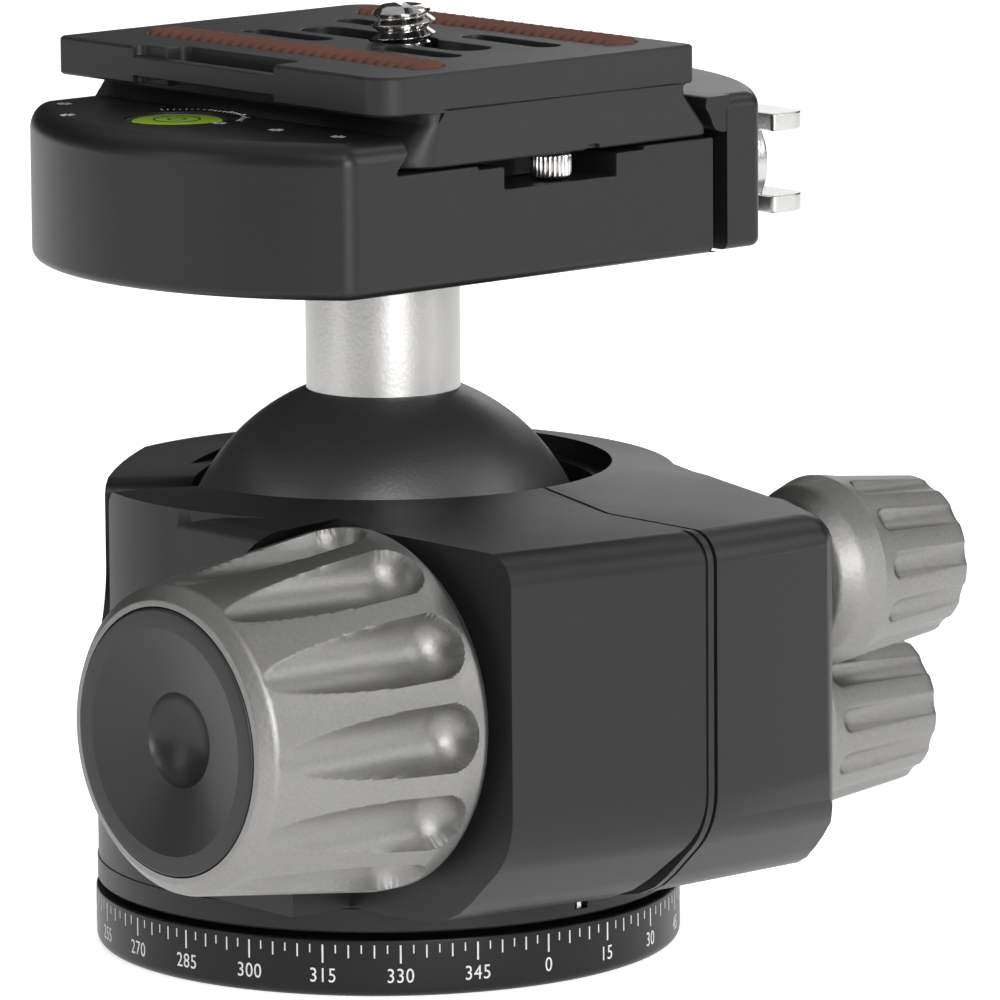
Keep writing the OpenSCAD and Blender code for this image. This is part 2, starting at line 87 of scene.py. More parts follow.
def blasted(name, base, dark, metallic, rough, rough_var=0.06, grain=5200.0, bump=0.35, spec=0.5, depth=0.00002):
    """Bead-blasted and anodised metal: fine pits, faint tone shift."""
    m, nt, b = nodes_of(name)
    mp = coords(nt)
    fine = noise(nt, mp, grain, 2.0, 0.6)
    pits = nt.nodes.new("ShaderNodeTexVoronoi")
    pits.feature = "F1"
    pits.inputs["Scale"].default_value = grain * 0.55
    link(nt, mp, 0, pits, "Vector")
    broad = noise(nt, mp, 60.0, 3.0, 0.5)
    mix = nt.nodes.new("ShaderNodeMix")
    mix.data_type = "RGBA"
    mix.inputs["A"].default_value = (*dark, 1)
    mix.inputs["B"].default_value = (*base, 1)
    f = nt.nodes.new("ShaderNodeMath")
    f.operation = "MULTIPLY_ADD"
    f.inputs[1].default_value = 0.6
    f.inputs[2].default_value = 0.25
    f.use_clamp = True
    add = nt.nodes.new("ShaderNodeMath")
    add.operation = "ADD"
    link(nt, fine, "Fac", add, 0)
    half = nt.nodes.new("ShaderNodeMath")
    half.operation = "MULTIPLY_ADD"
    half.inputs[1].default_value = 0.5
    half.inputs[2].default_value = -0.25
    link(nt, broad, "Fac", half, 0)
    link(nt, half, 0, add, 1)
    link(nt, add, 0, f, 0)
    link(nt, f, 0, mix, "Factor")
    nt.links.new(mix.outputs["Result"], b.inputs["Base Color"])
    b.inputs["Metallic"].default_value = metallic
    b.inputs["Specular IOR Level"].default_value = spec
    rr = nt.nodes.new("ShaderNodeMapRange")
    rr.inputs["To Min"].default_value = rough - rough_var
    rr.inputs["To Max"].default_value = rough + rough_var
    link(nt, broad, "Fac", rr, "Value")
    link(nt, rr, 0, b, "Roughness")
    hsum = nt.nodes.new("ShaderNodeMath")
    hsum.operation = "ADD"
    link(nt, fine, "Fac", hsum, 0)
    link(nt, pits, "Distance", hsum, 1)
    bp = nt.nodes.new("ShaderNodeBump")
    bp.inputs["Strength"].default_value = bump
    bp.inputs["Distance"].default_value = depth
    link(nt, hsum, 0, bp, "Height")
    link(nt, bp, 0, b, "Normal")
    return m


def turned(name, base, rough, lines=9000.0, axis="Z", bump=0.2, metallic=1.0):
    """Machined steel or brass with fine turning lines and a slight stain."""
    m, nt, b = nodes_of(name)
    mp = coords(nt)
    w = nt.nodes.new("ShaderNodeTexWave")
    w.wave_type = "BANDS"
    w.bands_direction = axis
    w.inputs["Scale"].default_value = lines
    w.inputs["Distortion"].default_value = 1.5
    w.inputs["Detail"].default_value = 2.0
    link(nt, mp, 0, w, "Vector")
    br = noise(nt, mp, 220.0, 4.0, 0.6)
    mix = nt.nodes.new("ShaderNodeMix")
    mix.data_type = "RGBA"
    mix.inputs["A"].default_value = (*[c * 0.72 for c in base], 1)
    mix.inputs["B"].default_value = (*base, 1)
    link(nt, br, "Fac", mix, "Factor")
    nt.links.new(mix.outputs["Result"], b.inputs["Base Color"])
    b.inputs["Metallic"].default_value = metallic
    rr = nt.nodes.new("ShaderNodeMapRange")
    rr.inputs["To Min"].default_value = rough * 0.8
    rr.inputs["To Max"].default_value = rough * 1.25
    link(nt, br, "Fac", rr, "Value")
    link(nt, rr, 0, b, "Roughness")
    bp = nt.nodes.new("ShaderNodeBump")
    bp.inputs["Strength"].default_value = bump
    bp.inputs["Distance"].default_value = 0.00001
    link(nt, w, "Fac", bp, "Height")
    link(nt, bp, 0, b, "Normal")
    return m


def moulded(name, base, rough, grain=2500.0, bump=0.25, spec=0.4):
    m, nt, b = nodes_of(name)
    mp = coords(nt)
    fine = noise(nt, mp, grain, 4.0, 0.6)
    br = noise(nt, mp, 90.0, 3.0, 0.5)
    mix = nt.nodes.new("ShaderNodeMix")
    mix.data_type = "RGBA"
    mix.inputs["A"].default_value = (*[c * 0.75 for c in base], 1)
    mix.inputs["B"].default_value = (*[min(1, c * 1.15) for c in base], 1)
    link(nt, br, "Fac", mix, "Factor")
    nt.links.new(mix.outputs["Result"], b.inputs["Base Color"])
    b.inputs["Specular IOR Level"].default_value = spec
    rr = nt.nodes.new("ShaderNodeMapRange")
    rr.inputs["To Min"].default_value = rough - 0.07
    rr.inputs["To Max"].default_value = rough + 0.07
    link(nt, fine, "Fac", rr, "Value")
    link(nt, rr, 0, b, "Roughness")
    bp = nt.nodes.new("ShaderNodeBump")
    bp.inputs["Strength"].default_value = bump
    bp.inputs["Distance"].default_value = 0.00003
    link(nt, fine, "Fac", bp, "Height")
    link(nt, bp, 0, b, "Normal")
    return m


M_BODY = blasted("body_black", (0.0165, 0.0162, 0.0172), (0.0110, 0.0108, 0.0117), 0.0, 0.40, spec=0.30)
M_CLAMP = blasted("clamp_black", (0.0105, 0.0105, 0.011), (0.007, 0.007, 0.0075), 0.0, 0.38, spec=0.34)
M_PLATE = blasted("plate_black", (0.019, 0.0185, 0.0205), (0.013, 0.0128, 0.0142), 0.0, 0.44, spec=0.32)
M_BASE = blasted("base_black", (0.0075, 0.0075, 0.008), (0.005, 0.005, 0.0055), 0.0, 0.34, spec=0.28)
M_BALL = blasted("ball_grey", (0.175, 0.175, 0.178), (0.115, 0.115, 0.118), 0.85, 0.40, grain=4200.0, bump=0.6, spec=0.4)
M_SILVER = blasted("knob_silver", (0.335, 0.331, 0.323), (0.185, 0.183, 0.178), 1.0, 0.47, grain=3300.0, bump=0.7)
M_STEM = blasted("stem_silver", (0.56, 0.555, 0.545), (0.42, 0.415, 0.41), 1.0, 0.36, grain=4200.0, bump=0.5)
M_CAP = blasted("cap_black", (0.024, 0.024, 0.0248), (0.018, 0.018, 0.0185), 0.0, 0.34, spec=0.3)
M_STEEL = turned("steel_turned", (0.72, 0.71, 0.70), 0.22)
M_CHROME = turned("screw_bright", (0.70, 0.69, 0.68), 0.14, bump=0.06)
M_WING = blasted("wing_silver", (0.60, 0.595, 0.585), (0.46, 0.455, 0.45), 1.0, 0.26, grain=5200.0, bump=0.25)
M_DARK = turned("steel_black", (0.06, 0.06, 0.065), 0.35)
M_BRASS = turned("brass_turned", (0.78, 0.60, 0.30), 0.28)
M_NYLON = moulded("liner_black", (0.02, 0.02, 0.021), 0.5)
M_PTFE = moulded("cup_white", (0.78, 0.77, 0.73), 0.45)
M_PAINT = moulded("paint_white", (0.72, 0.72, 0.72), 0.55, grain=3000.0, bump=0.15)
M_RUBBER = moulded("rubber_brown", (0.115, 0.043, 0.027), 0.6, grain=1800.0, bump=0.6, spec=0.3)


def glass_green():
    m, nt, b = nodes_of("vial_green")
    mp = coords(nt)
    br = noise(nt, mp, 160.0, 2.0, 0.5)
    mix = nt.nodes.new("ShaderNodeMix")
    mix.data_type = "RGBA"
    mix.inputs["A"].default_value = (0.42, 0.66, 0.04, 1)
    mix.inputs["B"].default_value = (0.62, 0.86, 0.10, 1)
    link(nt, br, "Fac", mix, "Factor")
    nt.links.new(mix.outputs["Result"], b.inputs["Base Color"])
    b.inputs["Roughness"].default_value = 0.05
    b.inputs["Coat Weight"].default_value = 1.0
    b.inputs["Coat Roughness"].default_value = 0.03
    # painted glow: the emission makes the green vial shine by itself, standing in for light passing through the liquid;
    # the vial is no lamp
    b.inputs["Emission Color"].default_value = (0.35, 0.6, 0.03, 1)
    b.inputs["Emission Strength"].default_value = 0.25
    return m


M_VIAL = glass_green()


# ------------------------------------------------------------------ mesh helpers
def add_object(name, verts, faces, mats, body, replaces=(), smooth=35.0, face_mats=None):
    me = bpy.data.meshes.new(name)
    me.from_pydata([tuple(c * MM for c in v) for v in verts], [], faces)
    me.validate()
    mats = mats if isinstance(mats, (list, tuple)) else [mats]
    for mt in mats:
        me.materials.append(mt)
    if face_mats is not None:
        for p, k in zip(me.polygons, face_mats):
            p.material_index = k
    ob = bpy.data.objects.new(name, me)
    bpy.context.scene.collection.objects.link(ob)
    fix_normals(me)
    me.shade_smooth()
    me.set_sharp_from_angle(angle=rad(smooth))
    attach(ob, body)
    if replaces:
        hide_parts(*replaces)
    return ob


def fix_normals(me):
    bm = bmesh.new()
    bm.from_mesh(me)
    bmesh.ops.recalc_face_normals(bm, faces=bm.faces)
    bm.to_mesh(me)
    bm.free()


def lathe(prof, axis="Z", at=(0, 0, 0), seg=160):
    """prof: [(along, radius)], turned about the axis through 'at'; radius 0 closes the form."""
    verts, faces, rings = [], [], []
    for a, r in prof:
        if r < 1e-6:
            rings.append([len(verts)])
            verts.append((a, 0.0, 0.0))
        else:
            rings.append(list(range(len(verts), len(verts) + seg)))
            for k in range(seg):
                t = 2 * pi * k / seg
                verts.append((a, r * cos(t), r * sin(t)))
    for p, q in zip(rings, rings[1:]):
        for k in range(seg):
            n = (k + 1) % seg
            if len(p) == 1 and len(q) == 1:
                continue
            if len(p) == 1:
                faces.append((p[0], q[k], q[n]))
            elif len(q) == 1:
                faces.append((p[k], q[0], p[n]))
            else:
                faces.append((p[k], q[k], q[n], p[n]))
    out = []
    for a, u, v in verts:
        if axis == "Z":
            out.append((at[0] + u, at[1] + v, at[2] + a))
        elif axis == "X":
            out.append((at[0] + a, at[1] + u, at[2] + v))
        else:
            out.append((at[0] + u, at[1] + a, at[2] + v))
    return out, faces


def closed_lathe(prof, axis="Z", at=(0, 0, 0), seg=160):
    """A ring-like section, joined back to its first point."""
    return lathe(list(prof) + [prof[0]], axis, at, seg)


def weld(me, dist=1e-6):
    bm = bmesh.new()
    bm.from_mesh(me)
    bmesh.ops.remove_doubles(bm, verts=bm.verts, dist=dist)
    bmesh.ops.recalc_face_normals(bm, faces=bm.faces)
    bm.to_mesh(me)
    bm.free()


def round_prof(pts, radii, n=6):
    """Polyline with each inner corner rounded by its radius (0 leaves it sharp)."""
    out = []
    for i, p in enumerate(pts):
        r = radii[i]
        if r <= 0 or i in (0, len(pts) - 1):
            out.append(tuple(p))
            continue
        p = np.array(p, float)
        a = np.array(pts[i - 1], float) - p
        b = np.array(pts[i + 1], float) - p
        la, lb = np.linalg.norm(a), np.linalg.norm(b)
        a, b = a / la, b / lb
        ang = math.acos(max(-1, min(1, float(a @ b))))
        d = min(r / math.tan(ang / 2), 0.49 * la, 0.49 * lb)
        rr = d * math.tan(ang / 2)
        bis = (a + b) / np.linalg.norm(a + b)
        c = p + bis * (rr / sin(ang / 2))
        s, e = p + a * d - c, p + b * d - c
        t0, t1 = math.atan2(s[1], s[0]), math.atan2(e[1], e[0])
        dt = (t1 - t0 + pi) % (2 * pi) - pi
        for k in range(n + 1):
            t = t0 + dt * k / n
            out.append((float(c[0] + rr * cos(t)), float(c[1] + rr * sin(t))))
    return out


def interp(pts, s):
    if s <= pts[0][0]:
        return pts[0][1]
    for (a, ra), (b, rb) in zip(pts, pts[1:]):
        if s <= b:
            return ra + (rb - ra) * (s - a) / (b - a) if b > a else rb
    return pts[-1][1]


def bake(ob, angle=38.0):
    """Applies the modifiers and gives flat faces flat shading, with rounds blending into them."""
    bpy.context.view_layer.update()
    dg = bpy.context.evaluated_depsgraph_get()
    me = bpy.data.meshes.new_from_object(ob.evaluated_get(dg))
    old = ob.data
    ob.modifiers.clear()
    ob.data = me
    name = old.name
    bpy.data.meshes.remove(old)
    me.name = name
    bm = bmesh.new()
    bm.from_mesh(me)
    bmesh.ops.dissolve_degenerate(bm, edges=bm.edges, dist=1e-6)
    loose = [w for w in bm.verts if not w.link_faces]
    if loose:
        bmesh.ops.delete(bm, geom=loose, context="VERTS")
    bm.to_mesh(me)
    bm.free()
    me.shade_smooth()
    nf = len(me.polygons)
    fn = np.zeros(nf * 3)
    me.polygons.foreach_get("normal", fn)
    fn = fn.reshape(-1, 3)
    ar = np.zeros(nf)
    me.polygons.foreach_get("area", ar)
    vf = [[] for _ in me.vertices]
    for p in me.polygons:
        for vi in p.vertices:
            vf[vi].append(p.index)
    ca = cos(rad(angle))
    out = []
    for p in me.polygons:
        n0 = fn[p.index]
        for vi in p.vertices:
            g = vf[vi]
            ns = fn[g]
            ok = ns @ n0 > ca
            w = ar[g][ok][:, None]
            t = (ns[ok] * w).sum(0)
            ln = np.linalg.norm(t)
            out.append(tuple(t / ln) if ln > 0 else tuple(n0))
    me.normals_split_custom_set(out)
    return ob


def cad_copy(node, name, mat, body, bevel=0.3, seg=3, angle=25.0, smooth=24.0):
    """The CAD shape with its edges eased."""
    src = NODES[node]
    me = src.data.copy()
    me.name = name
    me.materials.clear()
    me.materials.append(mat)
    bm = bmesh.new()
    bm.from_mesh(me)
    bmesh.ops.remove_doubles(bm, verts=bm.verts, dist=2e-6)
    bmesh.ops.dissolve_limit(bm, angle_limit=rad(0.4), verts=bm.verts, edges=bm.edges, use_dissolve_boundaries=False)
    bmesh.ops.recalc_face_normals(bm, faces=bm.faces)
    bm.to_mesh(me)
    bm.free()
    for p in me.polygons:
        p.material_index = 0
    ob = bpy.data.objects.new(name, me)
    bpy.context.scene.collection.objects.link(ob)
    me.shade_smooth()
    me.set_sharp_from_angle(angle=rad(smooth))
    if bevel > 0:
        bv = ob.modifiers.new("bevel", "BEVEL")
        bv.width = bevel * MM
        bv.segments = seg
        bv.limit_method = "ANGLE"
        bv.angle_limit = rad(angle)
        bv.miter_outer = "MITER_ARC"
        bv.use_clamp_overlap = False
        bv.harden_normals = False
    bake(ob)
    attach(ob, body)
    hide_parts(node)
    return ob


def loft(rings, cap=True):
    """Rings with equal point counts, joined in order."""
    n = len(rings[0])
    verts = [p for r in rings for p in r]
    faces = []
    for i in range(len(rings) - 1):
        for k in range(n):
            m = (k + 1) % n
            faces.append((i * n + k, i * n + m, (i + 1) * n + m, (i + 1) * n + k))
    if cap:
        faces.append(tuple(reversed(range(n))))
        faces.append(tuple((len(rings) - 1) * n + k for k in range(n)))
    return verts, faces


def raw_object(name, verts, faces, mats):
    me = bpy.data.meshes.new(name)
    me.from_pydata([tuple(c * MM for c in v) for v in verts], [], faces)
    me.validate()
    for mt in mats:
        me.materials.append(mt)
    fix_normals(me)
    ob = bpy.data.objects.new(name, me)
    bpy.context.scene.collection.objects.link(ob)
    return ob


def cut(ob, cutters, op="DIFFERENCE"):
    """Exact booleans, baked into the mesh; the cutters are removed again."""
    mods = []
    for c in cutters:
        md = ob.modifiers.new("cut", "BOOLEAN")
        md.operation = op
        md.solver = "EXACT"
        md.object = c
        mods.append(md)
    bpy.context.view_layer.update()
    dg = bpy.context.evaluated_depsgraph_get()
    me = bpy.data.meshes.new_from_object(ob.evaluated_get(dg))
    old = ob.data
    ob.modifiers.clear()
    name = old.name
    ob.data = me
    bpy.data.meshes.remove(old)
    me.name = name
    for c in cutters:
        cm = c.data
        bpy.data.objects.remove(c)
        bpy.data.meshes.remove(cm)
    return ob


def prism(name, pts, lo, hi, axis="Z"):
    """Closed prism over a polygon; axis gives the direction of extrusion."""
    def put(a, b, t):
        return (a, b, t) if axis == "Z" else ((a, t, b) if axis == "Y" else (t, a, b))
    n = len(pts)
    v = [put(a, b, lo) for a, b in pts] + [put(a, b, hi) for a, b in pts]
    f = [tuple(range(n)), tuple(n + k for k in range(n))]
    f += [(k, (k + 1) % n, n + (k + 1) % n, n + k) for k in range(n)]
    return raw_object(name, v, f, [])


def circle_pts(cx, cy, r, n=64):
    return [(cx + r * cos(2 * pi * k / n), cy + r * sin(2 * pi * k / n)) for k in range(n)]


def round_poly(pts, radii, n=8):
    """Closed polygon with rounded corners."""
    m = len(pts)
    out = []
    for i in range(m):
        tri = [pts[i - 1], pts[i], pts[(i + 1) % m]]
        out += round_prof(tri, [0, radii[i], 0], n)[1:-1] if radii[i] > 0 else [tuple(pts[i])]
    return out


def slot_pts(x, y0, y1, w, n=12):
    out = [(x + w / 2 * cos(-pi + pi * k / n), y0 + w / 2 * sin(-pi + pi * k / n)) for k in range(n + 1)]
    out += [(x + w / 2 * cos(pi * k / n), y1 + w / 2 * sin(pi * k / n)) for k in range(n + 1)]
    return out


def finish_piece(ob, body, replaces, bevel=0.25, seg=3, angle=32.0, smooth=30.0, weld_d=4e-6):
    me = ob.data
    bm = bmesh.new()
    bm.from_mesh(me)
    bmesh.ops.remove_doubles(bm, verts=bm.verts, dist=weld_d)
    bmesh.ops.dissolve_degenerate(bm, edges=bm.edges, dist=weld_d)
    bmesh.ops.recalc_face_normals(bm, faces=bm.faces)
    bm.to_mesh(me)
    bm.free()
    me.shade_smooth()
    me.set_sharp_from_angle(angle=rad(smooth))
    if bevel > 0:
        bv = ob.modifiers.new("bevel", "BEVEL")
        bv.width = bevel * MM
        bv.segments = seg
        bv.limit_method = "ANGLE"
        bv.angle_limit = rad(angle)
        bv.miter_outer = "MITER_ARC"
        bv.use_clamp_overlap = False
        bv.harden_normals = False
    bake(ob)
    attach(ob, body)
    if replaces:
        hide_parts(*replaces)
    return ob


# ------------------------------------------------------------------ camera
AZ, EL, ROLL = rad(-41.25), rad(9.80), rad(-0.428)
back = Vector((sin(AZ) * cos(EL), -cos(AZ) * cos(EL), sin(EL)))
right0 = (-back).cross(Vector((0, 0, 1))).normalized()
up0 = right0.cross(-back)
right = right0 * cos(ROLL) + up0 * sin(ROLL)
up = -right0 * sin(ROLL) + up0 * cos(ROLL)
eye = back * 862.6 + Vector((0, 0, 42.67)) + right0 * 11.15
cam_data = bpy.data.cameras.new("camera")
cam_data.sensor_fit = "HORIZONTAL"
cam_data.sensor_width = 36.0
cam_data.lens = 8930.9 / 1000.0 * 36.0
cam_data.clip_start = 0.05
cam_data.clip_end = 20.0
cam = bpy.data.objects.new("camera", cam_data)
bpy.context.scene.collection.objects.link(cam)
mw = Matrix((
    (right.x, up.x, back.x, eye.x * MM),
    (right.y, up.y, back.y, eye.y * MM),
    (right.z, up.z, back.z, eye.z * MM),
    (0, 0, 0, 1)))
cam.matrix_world = mw
bpy.context.scene.camera = cam


# ------------------------------------------------------------------ base ring with its scale
R_RING = 28.36
RING_TOP = 5.6
prof = round_prof([(0.0, 8.0), (0.0, R_RING), (RING_TOP, R_RING), (RING_TOP, 11.0), (10.5, 11.0), (10.5, 5.2), (8.0, 5.2), (8.0, 8.0), (0.0, 8.0)],
                  [0, 0.9, 0.22, 0, 0.2, 0, 0, 0, 0], n=6)
v, f = lathe(prof, "Z", (0, 0, 0), 288)
ring = add_object("base_ring_v", v, f, M_BASE, "base", ["base_ring"], smooth=30)
weld(ring.data)
ring.data.shade_smooth()
ring.data.set_sharp_from_angle(angle=rad(30))

ZERO_AZ = -8.26  # body azimuth of the 0 mark, counted from -Y, growing towards +X


def on_ring(deg, z, r):
    a = rad(deg)
    return (r * sin(a), -r * cos(a), z)


def strip_on_ring(deg, half_w, z0, z1, r0, r1):
    """Thin filled line: a small closed block bent to the ring."""
    d = math.degrees(half_w / r1)
    p = [on_ring(deg - d, z0, r0), on_ring(deg + d, z0, r0), on_ring(deg + d, z1, r0), on_ring(deg - d, z1, r0),
         on_ring(deg - d, z0, r1), on_ring(deg + d, z0, r1), on_ring(deg + d, z1, r1), on_ring(deg - d, z1, r1)]
    q = [(0, 3, 2, 1), (4, 5, 6, 7), (0, 1, 5, 4), (1, 2, 6, 5), (2, 3, 7, 6), (3, 0, 4, 7)]
    return p, q


tv, tf = [], []
for k in range(144):
    g = k * 2.5
    if k % 6 == 0:
        ln, hw = 1.75, 0.085
    elif k % 2 == 0:
        ln, hw = 1.25, 0.07
    else:
        ln, hw = 0.8, 0.06
    p, q = strip_on_ring(ZERO_AZ + g, hw, 5.08 - ln, 5.08, R_RING - 0.05, R_RING + 0.02)
    o = len(tv)
    tv += p
    tf += [tuple(o + i for i in x) for x in q]
add_object("scale_ticks", tv, tf, M_PAINT, "base")


def text_mesh(s, size, depth=0.0):
    """Outline of plain figures as a filled flat mesh, centred on its own box."""
    cu = bpy.data.curves.new("tmp_text", "FONT")
    cu.body = s
    cu.size = size
    cu.resolution_u = 6
    cu.align_x = "CENTER"
    cu.space_character = 1.08
    ob = bpy.data.objects.new("tmp_text", cu)
    bpy.context.scene.collection.objects.link(ob)
    bpy.context.view_layer.update()
    dg = bpy.context.evaluated_depsgraph_get()
    me = bpy.data.meshes.new_from_object(ob.evaluated_get(dg))
    bpy.data.objects.remove(ob)
    bpy.data.curves.remove(cu)
    bm = bmesh.new()
    bm.from_mesh(me)
    bmesh.ops.remove_doubles(bm, verts=bm.verts, dist=1e-5)
    bmesh.ops.triangulate(bm, faces=bm.faces)
    bmesh.ops.subdivide_edges(bm, edges=[e for e in bm.edges if e.calc_length() > size * 0.25], cuts=1)
    bmesh.ops.triangulate(bm, faces=bm.faces)
    vs = [(w.co.x, w.co.y) for w in bm.verts]
    fs = [tuple(w.index for w in fc.verts) for fc in bm.faces]
    edges = [(e.verts[0].index, e.verts[1].index) for e in bm.edges if len(e.link_faces) == 1]
    bm.free()
    bpy.data.meshes.remove(me)
    xs = [p[0] for p in vs]
    ys = [p[1] for p in vs]
    cx, cy = (min(xs) + max(xs)) / 2, (min(ys) + max(ys)) / 2
    return [(x - cx, y - cy) for x, y in vs], fs, edges


def thick_flat(vs, fs, edges, place):
    """Closes a flat mesh into a thin solid; place(x, y, h) gives the point at height h (0 or 1)."""
    n = len(vs)
    out = [place(x, y, 1) for x, y in vs] + [place(x, y, 0) for x, y in vs]
    faces = [tuple(t) for t in fs] + [tuple(n + i for i in reversed(t)) for t in fs]
    faces += [(a, b, n + b, n + a) for a, b in edges]
    return out, faces


nv, nf = [], []
for k in range(24):
    g = k * 15
    vs, fs, es = text_mesh(str(g), 1.95)

    def place(x, y, h, g=g):
        return on_ring(ZERO_AZ + g + math.degrees(x * 0.86 / R_RING), 2.13 + y, R_RING - 0.05 + 0.07 * h)

    p, q = thick_flat(vs, fs, es, place)
    o = len(nv)
    nv += p
    nf += [tuple(o + i for i in x) for x in q]
add_object("scale_numbers", nv, nf, M_PAINT, "base")

# ------------------------------------------------------------------ housing
cad_copy("housing", "housing_v", M_BODY, "collar", bevel=0.0)

# ------------------------------------------------------------------ ball and stem
BZ = 35.4
prof = [(-20.0, 0.0)]
for k in range(1, 120):
    t = pi * k / 120
    a, r = -20 * cos(t), 20 * sin(t)
    if a > 18.4:
        break
    prof.append((a, r))
prof += [(sqrt(400 - 7.3 ** 2), 7.3), (sqrt(400 - 7.3 ** 2) - 0.3, 0.0)]
v, f = lathe(prof, "Z", (0, 0, BZ), 256)
add_object("ball_v", v, f, M_BALL, "ball_stem", ["ball"])
zb = BZ + sqrt(400 - 7.45 ** 2)
prof = round_prof([(zb - 0.25, 0), (zb - 0.25, 7.45), (67.05, 7.45), (67.05, 3.05), (60, 3.05), (60, 0)], [0, 0, 0.25, 0, 0, 0])
v, f = lathe(prof, "Z", (0, 0, 0), 192)
add_object("stem_v", v, f, M_STEM, "ball_stem", ["stem"])

# ------------------------------------------------------------------ large knob
KY, KZ, KX = -24.5, 29.0, -22.4
RC = 3.3


MAIN_PROF = round_prof([(0.0, 13.6), (0.0, 16.1), (1.1, 17.0), (3.4, 17.02), (23.75, 14.42), (25.0, 13.15), (25.05, 12.55)],
                       [0, 0.35, 0.9, 2.0, 1.3, 0.35, 0], n=8)


def prof_rows(prof, s_lo, s_hi, n):
    """Rows of a profile that may have steep ends: each row is (s, base radius)."""
    rows = [p for p in prof if p[0] <= s_lo]
    rows += [(float(s), interp(prof, float(s))) for s in np.linspace(s_lo, s_hi, n)[1:-1]]
    rows += [p for p in prof if p[0] >= s_hi]
    return rows


def fluted(prof, s_lo, s_hi, n, nt, cut, axis_x, ay, az, flip, phase=0.0, tail=()):
    """Turned body with cut(s, angle, r) -> radius; rows at the ends follow the profile exactly."""
    rows = prof_rows(prof, s_lo, s_hi, n) + list(tail)
    verts, faces = [], []
    for s, r in rows:
        for k in range(nt):
            t = 2 * pi * k / nt
            rr = cut(s, t + phase, r)
            verts.append((axis_x + flip * s, ay - rr * cos(t), az + rr * sin(t)))
    m = len(rows)
    for i in range(m - 1):
        for k in range(nt):
            n2 = (k + 1) % nt
            faces.append((i * nt + k, i * nt + n2, (i + 1) * nt + n2, (i + 1) * nt + k))
    faces.append(tuple(range(nt)))
    faces.append(tuple((m - 1) * nt + k for k in range(nt)))
    return verts, faces


def main_cut(s, t, r):
    if s > 24.4 or s < 1.6 or r < 14.0:
        return r
    pitch = 2 * pi / 12
    ph = (t + pitch / 2) % pitch - pitch / 2
    s0, h0 = 5.25, 16.93
    slope = ((14.38 + RC) - h0) / (23.75 - s0)
    if s >= s0:
        h = h0 + slope * (s - s0)
        q = RC * RC - (h * sin(ph)) ** 2
    else:
        h = h0
        q = RC * RC - (s - s0) ** 2 - (h * sin(ph)) ** 2
    if q <= 0:
        return r
    rho = h * cos(ph) - sqrt(q)
    return min(r, rho)


v, f = fluted(MAIN_PROF, 1.25, 23.2, 170, 12 * 48, main_cut, KX, KY, KZ, -1, tail=[(23.4, 12.52), (23.4, 5.0), (20.5, 5.0)])
add_object("main_knob_v", v, f, M_SILVER, "main_lock", ["main_knob"], smooth=28)

cap = [(23.42, 0.0), (23.42, 12.42)]
cap += round_prof([(23.42, 12.42), (25.25, 12.42), (25.25, 10.55), (23.55, 4.5), (22.5, 0.0)], [0, 0.25, 0.14, 0, 0], n=6)[1:-2]
for k in range(15):
    t = rad(74) * (1 - k / 14)
    cap.append((23.55 - 4.45 / sin(rad(74)) * (cos(t) - cos(rad(74))) * 0.62, 4.45 * sin(t) / sin(rad(74))))
cap[-1] = (cap[-1][0], 0.0)
cap[0] = (20.6, 0.0)
cap.insert(1, (20.6, 4.9))
cap.insert(2, (23.42, 4.9))
v, f = lathe([(a, r) for a, r in cap], "X", (0, 0, 0), 192)
v = [(KX - a, KY + b, KZ + c) for a, b, c in v]
add_object("main_knob_cap_v", v, f, M_CAP, "main_lock", ["main_knob_cap"], smooth=25)


# ------------------------------------------------------------------ small knobs
def small_knob(name, node, body, x0, y, z, r0, dome, ln, phase):
    prof = round_prof([(0.0, 4.0), (0.0, 5.4), (1.2, 7.2), (dome * 0.55, r0 - 0.75), (dome, r0), (dome + ln, r0 - 1.43),
                       (dome + ln, 4.0)],
                      [0, 0.4, 1.8, 3.0, 0.12, 1.0, 0], n=8)
    s_a, s_b = dome + 0.15, dome + ln - 1.1
    pitch = 2 * pi / 12

    def cut(s, t, r):
        if s < dome + 0.5 or r < r0 - 3.0:
            return r
        ph = (t + pitch / 2) % pitch - pitch / 2
        # shallow round-bottomed flute with soft lips: depth falls off towards the outer end
        s1 = dome + 2.3
        v = (s - s1) / (dome + ln - s1)
        depth = 0.74 - 0.50 * max(0.0, v)
        half = 1.22 - 0.16 * max(0.0, v)
        a = abs(r * sin(ph)) if abs(ph) < 1.2 else 9.0
        e = max(0.0, s1 - s)
        d = sqrt(a * a + (e * 1.08) ** 2) / half
        if d >= 1.28:
            return r
        if d <= 1.0:
            f = sqrt(max(0.0, 1.0 - (d * 0.93) ** 2))
            f = (f - 0.3676) / 0.6324 * 0.93 + 0.07
        else:
            f = 0.07 * ((1.28 - d) / 0.28) ** 2
        return r - depth * f

    v, f = fluted(prof, s_a, s_b, 90, 12 * 40, cut, x0, y, z, 1, phase=phase, tail=())
    return add_object(name, v, f, M_SILVER, body, [node], smooth=30)


small_knob("tension_knob_v", "tension_knob", "tension", 24.25, -30.0, 36.2, 9.16, 5.35, 12.6, rad(-8.0))
small_knob("pan_lock_knob_v", "pan_lock_knob", "pan_lock", 26.65, -20.0, 19.25, 9.04, 6.05, 15.2, rad(-8.0))

# ------------------------------------------------------------------ clamp and jaw
CLR, CLH, CZ0, CZ1, FLZ = 33.6, 23.7, 67.1, 81.7, 78.3


